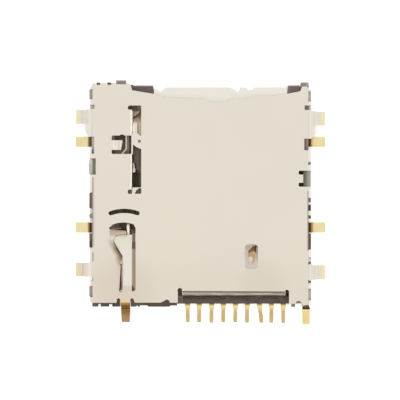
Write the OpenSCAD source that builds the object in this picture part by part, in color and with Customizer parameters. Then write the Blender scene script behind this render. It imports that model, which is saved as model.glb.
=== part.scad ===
// Push-push memory card connector for a printed circuit board.
// Frame: +X to the right, +Y towards the card mouth, +Z away from the board.
// The origin is the centre of the outline, on the board plane. Lengths in mm.

/* [Shell] */
// Width of the shell over its two side walls
shell_w = 14.2; // [14.16:0.01:14.24]
// Thickness of the shell's sheet
shell_t = 0.15; // [0.14:0.01:0.16]
// Height of the connector above the board
height = 1.45; // [1.44:0.01:1.55]
// Distance from the middle to the tip of a solder tab
tab_reach = 8.02; // [7.95:0.01:8.10]

/* [Housing] */
// Height of the card bay's floor above the board
floor_top = 0.42; // [0.40:0.01:0.43]
// Clearance between the housing's underside and the board
standoff = 0.05; // [0.02:0.01:0.08]

/* [Contacts] */
// Number of card contacts
contact_count = 8; // [8:1:8]
// Spacing of the contact beams under the card
contact_pitch = 1.1; // [1.08:0.01:1.10]
// Thickness of the contact strip
contact_t = 0.12; // [0.10:0.01:0.12]
// Width of a contact beam at its root
beam_w = 0.42; // [0.34:0.02:0.42]
// Height of a contact's crown above the board
crown_z = 0.86; // [0.70:0.02:0.90]
// Width of a solder tail
tail_w = 0.27; // [0.22:0.01:0.30]

/* [Card ejector] */
// Travel of the slider from ejected to fully pushed in
travel = 3.7; // [3.0:0.1:3.7]
// Swing of the cam pin over that travel
swing = 11; // [10:0.5:11]
// Diameter of the cam pin's wire
pin_d = 0.20; // [0.18:0.01:0.20]
// Outer diameter of the coil spring
spring_d = 0.74; // [0.66:0.02:0.74]
// Diameter of the coil spring's wire
wire_d = 0.12; // [0.10:0.01:0.12]
// Turns of the coil spring
turns = 19; // [14:1:20]

/* [Hidden] */

// Levels
in_z = height - shell_t;          // underside of the shell's top plate
mid_z = height - shell_t / 2;     // middle of the top plate's sheet
wall_top = in_z - 0.02;           // top of the housing's walls
sl_z0 = floor_top + 0.03;         // underside of the slider
sl_top = in_z - 0.12;             // top of the slider's bar
deck_z = in_z - 0.44;             // cam deck that the pin lies over
rim_z = in_z - 0.25;              // rim between the cam deck and the spring
web_z = in_z - 0.37;              // top of the web below the flange
arm_z = in_z - 0.15;              // top of the slider's arm
pin_z = in_z - 0.30;              // middle of the cam pin's wire
leaf_drop = 0.17;                 // how far the leaf lies below the top plate
flap_drop = 0.175;                // how far the plate's edge curves down beside it
half_w = shell_w / 2;             // outer face of a side wall
wall_x = half_w - shell_t - 0.02; // outer face of the housing's walls
bay_x1 = 6.67;                    // right edge of the card bay
pivot = [-4.63, -5.75];           // where the cam pin turns
pin_len = 4.39;                   // from the pivot to the pin's tip
spring_x = -6.17;                 // axis of the coil spring
spring_z = floor_top + 0.43;
seat_y = 3.0;                     // spring seat on the slider
back_y = -6.1;                    // inner face of the rear wall
lead_z = 0.33;                    // middle of the strip inside the floor
foot_z = contact_t / 2;           // middle of a solder foot
first_x = -2.22;                  // first contact beam
tail_x = [-0.83, -0.08, 0.72, 1.47, 2.25, 3.01, 3.78, 4.56];
tip_x  = [-0.82, -0.09, 0.70, 1.46, 2.24, 2.99, 3.91, 4.56];
tip_y  = [-7.70, -7.71, -7.73, -7.69, -7.70, -7.72, -7.73, -7.73];
detect_tail = 5.32;
detect_tip_y = -7.75;

// small blocks on the housing's side walls: outer face, then from and to
left_blocks = [[-7.12, 6.66, 7.26], [-7.12, -0.34, 0.62], [-7.12, -0.94, -0.74],
    [-7.12, -2.84, -1.96], [-7.13, -6.00, -5.37]];
right_blocks = [[7.08, 6.52, 7.08], [7.05, 2.46, 2.57], [7.07, 0.06, 0.28],
    [7.07, -0.48, -0.15], [7.07, -0.98, -0.84], [7.08, -2.96, -1.96],
    [7.08, -3.92, -3.54], [7.08, -5.12, -4.99], [7.08, -6.20, -5.54]];

// Helpers for outlines made of straight runs and round bends
function unit(v) = v / norm(v);
function left(v) = [-v[1], v[0]];
function bend(a, b, c, r, n) =
    let (u = unit(b - a), v = unit(c - b),
         s = sign(u[0] * v[1] - u[1] * v[0]),
         th = acos(max(-1, min(1, u * v))))
    (th < 1 || r <= 0) ? [b] :
    let (q = r * tan(th / 2), o = b - u * q + s * r * left(u))
    [for (i = [0:n]) let (w = th * i / n)
        o + r * (-s * left(u) * cos(w) + u * sin(w))];
// An open path with its inner corners rounded to radius r, or to a list of radii
function path(p, r, n = 4) = concat([p[0]],
    [for (i = [1:len(p) - 2]) each bend(p[i-1], p[i], p[i+1],
        is_list(r) ? r[i] : r, n)],
    [p[len(p) - 1]]);
// A closed outline with its corners rounded
function ring(p, r, n = 4) = let (m = len(p))
    [for (i = [0:m - 1]) each bend(p[(i + m - 1) % m], p[i], p[(i + 1) % m],
        is_list(r) ? r[i] : r, n)];
function along(p, i) = i == 0 ? unit(p[1] - p[0]) :
    i == len(p) - 1 ? unit(p[i] - p[i-1]) :
    unit(unit(p[i] - p[i-1]) + unit(p[i+1] - p[i]));
function side(p, i, d) = let (u = along(p, i),
    k = (i == 0 || i == len(p) - 1) ? 1 : u * unit(p[i+1] - p[i]))
    p[i] + d / k * left(u);
// The outline of a strip of thickness t whose middle follows path p
function strip(p, t) = concat(
    [for (i = [0:len(p) - 1]) side(p, i, t / 2)],
    [for (i = [len(p) - 1:-1:0]) side(p, i, -t / 2)]);
function arc(c, r, a0, a1, n) = [for (i = [0:n])
    let (a = a0 + (a1 - a0) * i / n) c + r * [cos(a), sin(a)]];

module along_x(x0, x1) translate([x0, 0, 0]) rotate([90, 0, 90])
    linear_extrude(x1 - x0) children();
module along_y(y0, y1) translate([0, y1, 0]) rotate([90, 0, 0])
    linear_extrude(y1 - y0) children();
module up(z0, z1) translate([0, 0, z0]) linear_extrude(z1 - z0) children();
module box(x0, y0, z0, x1, y1, z1) translate([x0, y0, z0])
    cube([x1 - x0, y1 - y0, z1 - z0]);

// ---------------------------------------------------------------- shell

// Gull-wing solder tab on the left side, as a section along the row
function tab_section() = strip(path([[-6.4, mid_z], [-half_w + 0.10, mid_z],
    [-tab_reach + 0.42, shell_t / 2], [-tab_reach, shell_t / 2]],
    0.16, 4), shell_t);

// Plan of a side tab: the foot runs from y0 to y1, with a web behind the front tabs
function tab_plan(y0, y1, web) = concat([[-6.5, y1], [-tab_reach - 0.1, y1],
    [-tab_reach - 0.1, y0]], web == 0 ? [[-6.5, y0]] :
    [[-half_w - 0.46, y0], [-half_w - 0.42, y0 - web + 0.12],
    [-half_w - 0.30, y0 - web - 0.10], [-half_w - 0.02, y0 - web - 0.42],
    [-6.5, y0 - web - 0.42]]);

module side_tab(y0, y1, web) intersection() {
    along_y(y0 - web - 0.5, y1) polygon(tab_section());
    up(-1, 2) polygon(tab_plan(y0, y1, web));
}

// Front edge of the top plate, from left to right
front_edge = [[-6.95, 7.64], [-6.72, 7.66], [-6.70, 7.54], [-6.42, 7.54],
    [-6.40, 7.66], [-6.02, 7.66], [-6.00, 7.54], [-5.70, 7.54], [-5.68, 7.66],
    [-5.44, 7.66], [-5.42, 7.58], [-4.76, 7.58], [-4.74, 7.64], [-4.49, 7.60],
    [-4.37, 7.19], [-2.98, 6.96], [-2.40, 6.74], [-1.44, 6.69], [-0.03, 6.69],
    [0.29, 6.52], [0.74, 6.44], [1.73, 6.44], [2.02, 6.70], [2.92, 6.70],
    [3.56, 6.84], [4.58, 6.84], [5.61, 6.98], [6.38, 7.13], [6.50, 7.43],
    [6.78, 7.45], [6.95, 7.32], [7.3, 7.14]];

slot_front = ring([[-4.65, 5.95], [-4.65, 6.22], [-3.79, 6.22], [-3.79, 4.24],
    [-4.05, 4.46], [-4.335, 4.46], [-4.355, 4.44], [-4.355, 5.95]],
    [0.1, 0.13, 0.07, 0.02, 0.03, 0, 0, 0.05], 3);
slot_rear = ring([[-4.355, 0.98], [-4.355, 3.08], [-4.32, 3.14], [-4.32, 3.75],
    [-4.15, 3.59], [-3.79, 3.43], [-3.79, 0.98]],
    [0.03, 0.02, 0.02, 0.02, 0.04, 0.03, 0.03], 3);
slot_tail = ring([[-3.79, 0.93], [-3.94, 0.93], [-4.09, 0.81], [-4.21, 0.57],
    [-3.79, 0.57]], [0.01, 0.02, 0.05, 0.03, 0.07], 3);
slot_nub = ring([[-4.38, 0.84], [-4.65, 0.84], [-4.65, 0.57], [-4.38, 0.57]],
    [0.02, 0.09, 0.09, 0.02], 3);
window_square = ring([[-5.68, 3.12], [-4.42, 3.12], [-4.42, 4.30],
    [-4.88, 4.30], [-4.92, 4.36], [-5.12, 4.36], [-5.16, 4.30], [-5.68, 4.30]],
    [0.08, 0.05, 0.05, 0, 0.03, 0.03, 0, 0.08], 3);
window_leaf = ring([[-4.15, -5.66], [-4.15, -1.62], [-4.28, -1.38],
    [-4.60, -1.28], [-4.92, -1.26], [-5.30, -1.29], [-5.62, -1.39],
    [-5.84, -1.60], [-5.88, -2.30], [-5.20, -3.90], [-5.10, -3.98],
    [-5.20, -5.66]],
    [0.09, 0.12, 0.12, 0.2, 0.3, 0.2, 0.12, 0.14, 0, 0, 0, 0.05], 3);
leaf_plan = ring([[-4.385, -5.9], [-4.385, -2.04], [-5.22, -2.08],
    [-5.44, -2.17], [-5.54, -2.40], [-5.50, -2.635], [-4.98, -3.40],
    [-5.03, -3.96], [-5.12, -5.66], [-5.13, -5.9]],
    [0, 0.05, 0.05, 0.08, 0.06, 0.05, 0.12, 0.1, 0, 0], 4);
flap_side = [[-6.02, -2.12], [-5.467, -2.17], [-5.567, -2.40],
    [-5.525, -2.646], [-5.02, -3.395], [-5.02, -3.94], [-5.26, -3.86]];
flap_end = [[-5.95, -2.30], [-5.95, -1.66], [-5.40, -1.72], [-4.74, -1.80],
    [-4.74, -2.030], [-5.23, -2.050], [-5.457, -2.145], [-5.52, -2.30]];

// sighting hole
sight = ring([[3.56, -2.78], [3.36, -2.78], [3.06, -3.09], [3.07, -3.50],
    [3.12, -3.79], [3.20, -3.88], [3.36, -3.87], [3.44, -3.77], [3.47, -3.24],
    [3.56, -3.13]], 0.05, 2);

module shell() color([0.90, 0.87, 0.82]) {
    difference() {
        union() {
            difference() {
                // folded channel: left wall, top plate and right wall
                along_y(-6.60, 7.66) polygon(strip(path([
                    [-half_w + shell_t/2, 0.12], [-half_w + shell_t/2, mid_z],
                    [half_w - shell_t/2, mid_z], [half_w - shell_t/2, 0.12]],
                    0.16, 5), shell_t));
                // front edge
                up(-1, 2) polygon(concat(front_edge,
                    [[7.3, 8.5], [-8.5, 8.5], [-8.5, 7.40], [-6.98, 7.40]]));
                // front ends of the side walls
                box(-7.5, 7.30, -1, -6.80, 9, in_z - 0.1);
                box(6.80, 7.20, -1, 7.5, 9, in_z - 0.1);
                // rear edge, left part, with the notches beside the rear tab
                up(-1, 2) polygon([[-7.3, -6.30], [-6.92, -6.40],
                    [-5.36, -6.40], [-5.34, -6.14], [-5.20, -6.10],
                    [-5.11, -6.28], [-5.11, -7], [-7.3, -7]]);
                up(-1, 2) polygon([[-4.52, -7], [-4.52, -6.28], [-4.44, -6.10],
                    [-4.30, -6.14], [-4.20, -6.39], [-2.55, -6.39],
                    [-2.30, -6.27], [-2.22, -6.20], [-2.08, -6.20],
                    [-1.98, -6.30], [-1.96, -6.39], [-1.40, -6.39],
                    [-1.40, -7]]);
                // rear opening over the contact tails
                box(-1.45, -7, -1, 5.66, -5.66, 2);
                translate([-1.32, -5.60, -1]) cylinder(h = 3, r = 0.15, $fn = 24);
                translate([5.52, -5.70, -1]) cylinder(h = 3, r = 0.14, $fn = 24);
                // rear edge, right part
                up(-1, 2) polygon([[5.6, -6.47], [6.08, -6.46], [6.13, -6.34],
                    [6.22, -6.28], [6.36, -6.29], [6.46, -6.40], [6.56, -6.58],
                    [7.3, -6.44], [7.3, -7], [5.6, -7]]);
                box(-7.3, -7, -1, -6.7, -6.30, in_z - 0.1);
                box(6.7, -7, -1, 7.3, -6.30, in_z - 0.1);
                // slots and windows of the top plate
                up(1, 2) {
                    polygon(slot_front);
                    polygon(slot_rear);
                    polygon(slot_tail);
                    polygon(slot_nub);
                    polygon(window_square);
                    polygon(window_leaf);
                    polygon(strip(arc([-4.88, -3.07], 2.55, 70.3, 109.7, 10), 0.274));
                }
                for (a = [70.3, 109.7]) translate([-4.88 + 2.55 * cos(a),
                    -3.07 + 2.55 * sin(a), 1]) cylinder(h = 1, r = 0.136, $fn = 24);
                for (y = [[4.36, 5.95], [0.84, 3.10]])
                    box(-4.60, y[0], 1, -4.355, y[1], 2);
                // sighting hole over a contact, with a dished rim
                up(1, 2) polygon(sight);
                hull() {
                    up(height, height + 0.01) polygon(ring([[3.68, -2.65],
                        [2.81, -2.65], [2.81, -4.27], [3.68, -4.27]], 0.26, 5));
                    up(in_z + 0.03, in_z + 0.04) polygon(sight);
                }
                // latch windows over the housing's snap blocks
                box(-7.3, 1.80, 0.50, -6.70, 2.84, 2);
                up(0.50, 2) polygon(ring([[6.27, 1.80], [6.57, 1.80],
                    [6.57, 1.28], [6.27, 1.28], [6.27, 1.03], [7.3, 1.03],
                    [7.3, 2.05], [6.27, 2.05]], [0.09, 0, 0, 0.09, 0.09, 0, 0,
                    0.09], 3));
                // small windows and notches along the two bends
                box(-7.3, 6.01, 0.30, -6.78, 6.27, 2);
                box(6.66, 5.93, 0.30, 7.3, 6.22, 2);
                box(-6.96, 3.14, 1, -6.80, 4.32, 2);
                box(6.64, 3.36, 1, 6.90, 4.23, 2);
                box(-7.3, -5.00, 0.10, -6.87, -4.76, 2);
                box(6.88, -5.16, 0.10, 7.3, -4.94, 2);
                for (b = left_blocks) {
                    box(-7.3, b[1] - 0.04, 0.56, -6.80, b[2] + 0.04, 1.24);
                    box(-7.3, b[1] - 0.04, 0.56, -6.90, b[2] + 0.04, 2);
                }
                for (b = right_blocks) {
                    box(6.80, b[1] - 0.04, 0.56, 7.3, b[2] + 0.04, 1.24);
                    box(6.88, b[1] - 0.04, 0.56, 7.3, b[2] + 0.04, 2);
                }
                // side wall gaps for the anchors
                for (y = [[3.42, 4.42], [-2.06, -1.12]]) {
                    box(-7.3, y[0], -1, -6.80, y[1], 1.02);
                    box(6.80, y[0], -1, 7.3, y[1], 1.02);
                }
                for (y = [3.92, -1.59]) {
                    box(-7.3, y - 0.37, 1, -6.95, y + 0.37, 2);
                    box(6.88, y - 0.37, 1, 7.3, y + 0.37, 2);
                }
                // side wall gaps where the solder tabs are folded out
                for (y = [[3.98, 6.02], [-4.80, -3.80]])
                    box(-7.3, y[0], -1, -6.80, y[1], in_z - 0.02);
                for (y = [[3.98, 5.91], [-4.99, -3.95]])
                    box(6.80, y[0], -1, 7.3, y[1], in_z - 0.02);
            }
            // solder tabs folded out to the board
            side_tab(5.07, 5.97, 0.42);
            side_tab(-4.74, -3.86, 0);
            mirror([1, 0, 0]) side_tab(4.96, 5.86, 0.44);
            mirror([1, 0, 0]) side_tab(-4.93, -4.01, 0);
            // rear solder tab
            intersection() {
                along_x(-5.3, -4.3) polygon(strip(path([[-5.8, mid_z],
                    [-6.37, mid_z], [-6.76, shell_t/2], [-7.68, shell_t/2]],
                    0.16, 4), shell_t));
                up(-1, 2) polygon(ring([[-5.11, -5.8], [-4.52, -5.8],
                    [-4.52, -6.8], [-4.55, -7.9], [-5.06, -7.9],
                    [-5.11, -6.8]], 0, 1));
            }
            // flange between the slider and the card
            for (y = [[4.36, 5.95], [0.84, 3.10]])
                along_y(y[0], y[1]) polygon(strip(path([[-4.80, mid_z],
                    [-4.43, mid_z], [-4.43, in_z - 0.32]], 0.085, 4), shell_t));
            // rear lip that stops the card
            along_x(-1.17, 5.43) polygon(strip(path([[-5.5, mid_z],
                [-5.865, mid_z], [-5.865, in_z - 0.35]], 0.12, 4), shell_t));
            // leaf that presses on the cam pin
            intersection() {
                along_x(-5.8, -4.2) polygon(strip(path([[-5.9, mid_z],
                    [-5.58, mid_z], [-5.24, mid_z - leaf_drop],
                    [-1.9, mid_z - leaf_drop]], 0.25, 4), shell_t));
                up(-1, 2) polygon(leaf_plan);
            }
            // edge of the plate curved down beside the leaf
            intersection() {
                translate([-5.80, -2.30, 0]) rotate([0, 0, 20.5])
                    along_y(-2.6, 0.6) polygon(strip(path([[-0.5, mid_z],
                        [0, mid_z], [0.36, mid_z - flap_drop],
                        [0.9, mid_z - flap_drop]], 0.25, 4), shell_t));
                up(-1, 2) polygon(flap_side);
            }
            intersection() {
                along_y(-2.4, -1.6) polygon(strip(path([[-6.3, mid_z],
                    [-5.84, mid_z], [-5.45, mid_z - flap_drop],
                    [-4.6, mid_z - flap_drop]], 0.25, 4), shell_t));
                up(-1, 2) polygon(flap_end);
            }
            // edge of the plate rolled down on the leaf's other side
            along_y(-5.70, -1.95) polygon(strip(path([[-3.9, mid_z],
                [-4.13, mid_z], [-4.325, mid_z - 0.14]], 0.12, 3), shell_t * 0.8));
            // tab that steadies the slider, in the square window
            intersection() {
                along_y(3.38, 4.00) polygon(strip(path([[-5.9, mid_z],
                    [-5.66, mid_z], [-5.46, mid_z - 0.07],
                    [-4.9, mid_z - 0.095]], 0.2, 4), shell_t));
                up(-1, 2) polygon(ring([[-5.9, 3.2], [-5.09, 3.2],
                    [-5.09, 3.38], [-4.97, 4.00], [-5.9, 4.00]],
                    [0, 0, 0.02, 0.06, 0], 3));
            }
            // finger that dips towards the card's notch
            intersection() {
                along_x(-4.335, -4.05) polygon(strip(path([[4.1, mid_z],
                    [4.50, mid_z], [5.02, mid_z - 0.24],
                    [5.16, mid_z - 0.42]], 0.25, 4), shell_t));
                box(-4.4, 4.0, 0, -4, 5.2, 2);
            }
            // tab bent down in the right-hand window
            along_y(1.29, 1.78) polygon(strip(path([[6.2, mid_z],
                [6.49, mid_z], [6.49, 0.90]], 0.12, 4), shell_t));
        }
        // pierced hole in the bridge across the slot
        translate([-3.90, 3.93, 1]) cylinder(h = 1, r = 0.10, $fn = 24);
        // coined line along the rear lip's bend
        up(height - 0.08, height + 1) polygon([[-1.14, -5.635], [5.39, -5.67],
            [5.39, -5.78], [-1.14, -5.745]]);
    }
}

// -------------------------------------------------------------- housing

module housing_solid() {
    // floor
    up(standoff, floor_top) polygon([[-wall_x, -6.1], [-wall_x, 7.30],
        [-4.62, 7.50], [-4.45, 7.60], [-4.24, 7.54], [-3.04, 7.54],
        [-2.98, 6.86], [5.58, 6.86], [5.60, 7.54], [6.38, 7.54],
        [6.42, 7.30], [wall_x, 7.20], [wall_x, -6.1]]);
    // ridge beside the groove of the plate's left wing
    up(floor_top - 0.1, floor_top + 0.06) polygon(strip(arc(rim_c, 0.965,
        -73, -14, 7), 0.12));
    // left and right walls
    box(-wall_x, -6.2, standoff, -6.60, 7.30, wall_top);
    box(bay_x1, -6.2, standoff, wall_x, 7.20, wall_top);
    // front left block, which stops the slider
    up(standoff, wall_top) polygon([[-wall_x, 5.26], [-4.58, 5.26],
        [-4.58, 7.10], [-4.62, 7.50], [-wall_x, 7.50]]);
    box(-6.66, 7.3, standoff, -6.44, 7.70, 1.20);
    box(-5.97, 7.3, standoff, -5.73, 7.70, 1.20);
    box(-5.40, 7.3, standoff, -4.78, 7.84, 1.22);
    // front right post
    box(6.42, 6.95, standoff, wall_x, 7.71, 1.22);
    // rear wall, left part
    box(-wall_x, -6.65, standoff, -4.10, back_y, wall_top);
    up(standoff, wall_top) polygon([[-4.2, back_y + 0.02], [-4.2, -6.58],
        [-4.03, -6.58], [-4.01, -6.66], [-3.90, -6.66], [-3.88, -6.57],
        [-3.40, -6.57], [-3.34, -6.65], [-2.46, -6.66], [-1.97, -6.65],
        [-1.93, -6.58], [-1.50, -6.58], [-1.50, back_y + 0.02]]);
    // rear bar over the contact leads
    box(-1.6, -6.46, standoff, 5.70, -5.95, 1.12);
    up(1.12, 1.16) polygon([[-1.3, -6.36], [1.2, -6.40], [1.3, -6.04],
        [-1.3, -6.06]]);
    // rear wall, right part
    box(5.66, -6.44, standoff, 6.50, -5.95, wall_top);
    box(6.40, -6.44, standoff, wall_x, -5.95, wall_top);
    box(5.84, -6.68, standoff, 6.06, -6.4, 1.0);
    // cam pin block and the wall between the cam and the card
    box(-5.06, -6.2, standoff, -4.10, -5.50, deck_z);
    box(-4.13, -6.2, standoff, -3.88, -2.86, wall_top - 0.1);
    // post for the coil spring
    translate([spring_x, back_y - 0.05, spring_z]) rotate([-90, 0, 0])
        cylinder(h = 0.65, r = 0.16, $fn = 24);
    // snap blocks that stand in the shell's windows
    along_y(1.86, 2.78) polygon([[-6.62, 0.55], [-7.08, 0.62],
        [-7.18, 0.80], [-7.16, 1.08], [-6.92, 1.26], [-6.62, 1.26]]);
    along_y(1.08, 2.00) polygon([[6.60, 0.55], [6.98, 0.62],
        [7.06, 0.80], [7.05, 1.08], [6.90, 1.26], [6.60, 1.26]]);
    // small blocks along the side walls
    for (b = left_blocks) box(b[0], b[1], 0.60, -6.7, b[2], 1.20);
    for (b = right_blocks) box(6.75, b[1], 0.60, b[0], b[2], 1.20);
}

module housing() color([0.16, 0.145, 0.14]) {
    difference() {
        housing_solid();
        // pocket of the front plate
        front_plate_solid(0.0);
        // curved groove round the plate's left wing
        up(floor_top - 0.15, 2) polygon(strip(arc(rim_c, 1.10, -74, -20, 6),
            0.12));
        // contact windows through the floor
        for (i = [0:contact_count - 1]) let (x = first_x + i * contact_pitch) {
            box(x - 0.21, -4.22, -1, x + 0.21, -2.52, 2);
            box(x - 0.27, -5.10, -1, x + 0.27, -4.20, 2);
        }
        box(5.94, -5.10, -1, 6.43, -3.50, 2);
        box(5.94, -3.52, 0.36, 6.64, -2.86, 2);
        // leads set in the floor
        for (i = [0:contact_count - 1]) contact_solid(i);
        detect_contact_solid();
        detect_terminal_solid();
        for (m = [0, 1]) mirror([m, 0, 0]) for (y = [-1.59, 3.92])
            anchor_solid(y);
        // pivot bore of the cam pin
        translate([pivot[0], pivot[1], floor_top + 0.02])
            cylinder(h = 2, r = pin_d/2 + 0.03, $fn = 24);
        // two gate recesses in the rear wall
        box(-6.56, -7, -1, -6.38, -6.47, 2);
        box(-5.87, -7, -1, -5.65, -6.48, 2);
        // room for the rear solder tab
        box(-5.17, -7, -1, -4.46, -6.24, 2);
        // openings in the floor under the slider and under the front plate
        box(-6.40, -4.9, -1, -5.90, -2.2, 2);
        box(-4.92, -4.6, -1, -4.46, -2.4, 2);
        box(-5.60, 0.2, -1, -4.75, 2.2, 2);
        for (x = [-1.9, 0.9, 3.7]) box(x, 4.2, -1, x + 1.5, 6.2, 0.28);
        // card bay lead-in
        along_x(-4.30, 6.42) polygon([[7.38, 0.50], [7.62, 0.50], [7.62, 0.30]]);
        // hollows of the front left block, open to the slider
        box(-6.42, 5.6, 0.62, -5.90, 6.9, 2);
        box(-5.52, 5.7, 0.62, -4.90, 7.2, 2);
        // side pockets under the walls
        box(-6.40, 6.0, -1, -5.0, 7.0, 0.30);
        // bevels that clear the inside of the shell's bends
        for (m = [0, 1]) mirror([m, 0, 0]) along_y(-7, 8) polygon([
            [wall_x - 0.07, wall_top + 0.01], [wall_x + 0.01, wall_top - 0.07],
            [wall_x + 0.01, wall_top + 0.01]]);
    }
}

// ---------------------------------------------------------- front plate

rim_c = [-4.75, 6.45];            // middle of the arc round the plate's left wing
front_lip = [[-3.00, 7.36], [-2.84, 7.30], [-2.58, 7.11], [-2.38, 7.30],
    [-2.17, 7.43], [1.86, 7.43], [2.27, 7.24], [2.31, 7.14], [2.46, 7.14],
    [2.54, 7.43], [2.93, 7.43], [3.03, 7.24], [3.29, 7.24], [3.46, 7.43],
    [5.56, 7.43]];

module front_plate_solid(gap) intersection() {
    along_x(-4.5, 5.7) polygon(strip(path([[3.3, floor_top - 0.075],
        [7.05, floor_top - 0.075], [7.50, floor_top - 0.19]], 0.5, 3), 0.15));
    up(-1, 2) polygon(concat(front_lip, [[5.56, 3.5], [-4.33, 3.5]],
        arc(rim_c, 1.14, -68.4, -24, 6), [[-3.40, 6.08], [-3.00, 6.2]]));
}
module front_plate() color([0.88, 0.85, 0.80]) front_plate_solid(0);

// --------------------------------------------------------------- slider

// Place of the pin's tip on the slider when it has moved in by s
function tip_at(s) = let (a = swing * s / travel)
    [pivot[0] - pin_len * sin(a), pivot[1] + pin_len * cos(a) + s];
track = [for (i = [0:4]) tip_at(travel * i / 4)];

latch_path = path([[-4.75, 4.42], [-4.75, 3.46], [-5.06, 3.08],
    [-5.08, 2.90], [-4.80, 2.76], [-4.50, 2.68], [-4.27, 2.46],
    [-4.27, 2.25]], 0.10, 3);
// its free end, folded back flat on itself
latch_hem = ring([[-4.35, 2.42], [-4.21, 2.42], [-4.205, 2.26],
    [-4.175, 2.21], [-4.175, 2.00], [-4.21, 1.94], [-4.35, 1.93]],
    [0.02, 0.03, 0.02, 0.02, 0.03, 0.03, 0.04], 3);

module slider() color([0.13, 0.12, 0.12]) {
    difference() {
        union() {
            // head with the spring seat
            box(-6.55, seat_y, sl_z0, -5.70, 5.22, sl_top);
            // bar beside the card
            box(-5.74, 2.60, sl_z0, -4.57, 5.22, sl_top);
            // cam deck
            box(-5.74, -1.68, sl_z0, -4.57, 2.62, deck_z);
            box(-4.60, -1.68, sl_z0, -4.20, 0.80, deck_z);
            // rim that keeps the spring in its channel
            box(-5.74, -1.68, sl_z0, -5.64, 2.62, rim_z);
            // web below the flange, and the arm that pushes the card
            box(-4.60, 1.0, sl_z0, -4.28, 4.40, web_z);
            up(sl_z0, arm_z) polygon([[-4.31, 1.90], [-3.12, 1.90],
                [-3.12, 2.98], [-4.31, 3.76]]);
            up(sl_z0, arm_z - 0.28) polygon([[-4.31, 1.0], [-3.30, 1.0],
                [-3.12, 1.2], [-3.12, 1.95], [-4.31, 1.95]]);
            // spring post
            translate([spring_x, seat_y + 0.05, spring_z]) rotate([90, 0, 0])
                cylinder(h = 0.65, r = 0.16, $fn = 24);
        }
        // heart-shaped track of the cam pin
        up(sl_z0 + 0.17, 2) difference() {
            polygon(concat(
                [for (i = [0:4]) track[i] + [-0.135, 0]],
                [[-5.55, 2.42], [-4.66, 2.42], [-4.66, 0.4], [-4.48, -1.0],
                 [-4.48, -1.50], [-4.765, -1.50]]));
            polygon([[-4.72, -0.30], [-4.915, 0.9], [-4.915, 1.95],
                [-5.08, 1.74], [-5.235, 1.95], [-5.235, 1.80]]);
        }
        // ramp where the track rises
        box(-4.72, -0.9, sl_z0 + 0.15, -4.44, -0.6, sl_z0 + 0.18);
        // slit of the latch spring
        up(sl_z0 + 0.06, 2) {
            polygon(strip(latch_path, 0.15));
            polygon([[-4.38, 1.89], [-4.38, 2.53], [-4.15, 2.54], [-4.105, 2.30],
                [-4.105, 2.0], [-4.18, 1.89]]);
        }
        // moulding relief on the bar
        box(-5.50, 4.45, sl_top - 0.15, -4.95, 5.02, 2);
        // chamfer at the nose of the arm
        box(-3.5, 2.0, sl_z0 + 0.5, -3.0, 3.0, 2);
    }
}

module latch_spring() color([0.90, 0.88, 0.84]) {
    difference() {
        up(sl_z0 + 0.08, sl_top - 0.01) {
            polygon(strip(latch_path, 0.10));
            polygon(latch_hem);
        }
        box(-4.62, 1.5, web_z - 0.02, -4.335, 3.3, 2);
    }
}

// ---------------------------------------------------------- coil spring

ring_n = 12;  // rings in each turn
side_n = 6;   // sides of the wire
sp_r = (spring_d - wire_d) / 2;
sp_y0 = back_y + wire_d / 2 + 0.005;
sp_y1 = seat_y - wire_d / 2 - 0.005;
sp_m = turns * ring_n;
// pitch is tight in the end turns and open between them
function sp_y(i) = let (u = i / sp_m, e = 1.5 / turns)
    sp_y0 + (sp_y1 - sp_y0) * (u < e ? u * u / (2 * e) / (1 - e) :
    u > 1 - e ? 1 - (1 - u) * (1 - u) / (2 * e) / (1 - e) :
    (u - e / 2) / (1 - e));
function sp_c(i) = let (a = 360 * i / ring_n)
    [spring_x + sp_r * cos(a), sp_y(i), spring_z + sp_r * sin(a)];

module coil_spring() color([0.78, 0.77, 0.75]) {
    pts = [for (i = [0:sp_m]) for (k = [0:side_n - 1])
        let (a = 360 * i / ring_n, b = 360 * k / side_n, w = wire_d / 2)
        sp_c(i) + w * cos(b) * [cos(a), 0, sin(a)] + w * sin(b) * [0, 1, 0]];
    polyhedron(points = pts, faces = concat(
        [[for (k = [side_n - 1:-1:0]) k]],
        [for (i = [0:sp_m - 1]) for (k = [0:side_n - 1])
            let (a = i * side_n + k, b = i * side_n + (k + 1) % side_n)
            [a, b, b + side_n, a + side_n]],
        [[for (k = [0:side_n - 1]) sp_m * side_n + k]]));
}

// -------------------------------------------------------------- cam pin

pin_r = pin_d / 2;
elbow = 0.16;
module cam_pin() color([0.86, 0.85, 0.83]) {
    translate([pivot[0], 0, 0]) {
        translate([0, pivot[1] + elbow, pin_z]) rotate([-90, 0, 0])
            cylinder(h = pin_len - 2 * elbow, r = pin_r, $fn = 24);
        // rear leg in the pivot bore
        translate([0, pivot[1], floor_top + 0.06])
            cylinder(h = pin_z - elbow - floor_top - 0.06, r = pin_r, $fn = 24);
        // front leg in the heart track
        translate([0, pivot[1] + pin_len, sl_z0 + 0.20])
            cylinder(h = pin_z - elbow - sl_z0 - 0.20, r = pin_r, $fn = 24);
        // elbows
        translate([0, pivot[1] + elbow, pin_z - elbow]) rotate([90, 0, 90])
            rotate([0, 0, 90]) rotate_extrude(angle = 90, $fn = 24)
                translate([elbow, 0]) circle(r = pin_r, $fn = 24);
        translate([0, pivot[1] + pin_len - elbow, pin_z - elbow])
            rotate([90, 0, 90]) rotate_extrude(angle = 90, $fn = 24)
                translate([elbow, 0]) circle(r = pin_r, $fn = 24);
    }
}

// ------------------------------------------------------------- contacts

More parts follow.
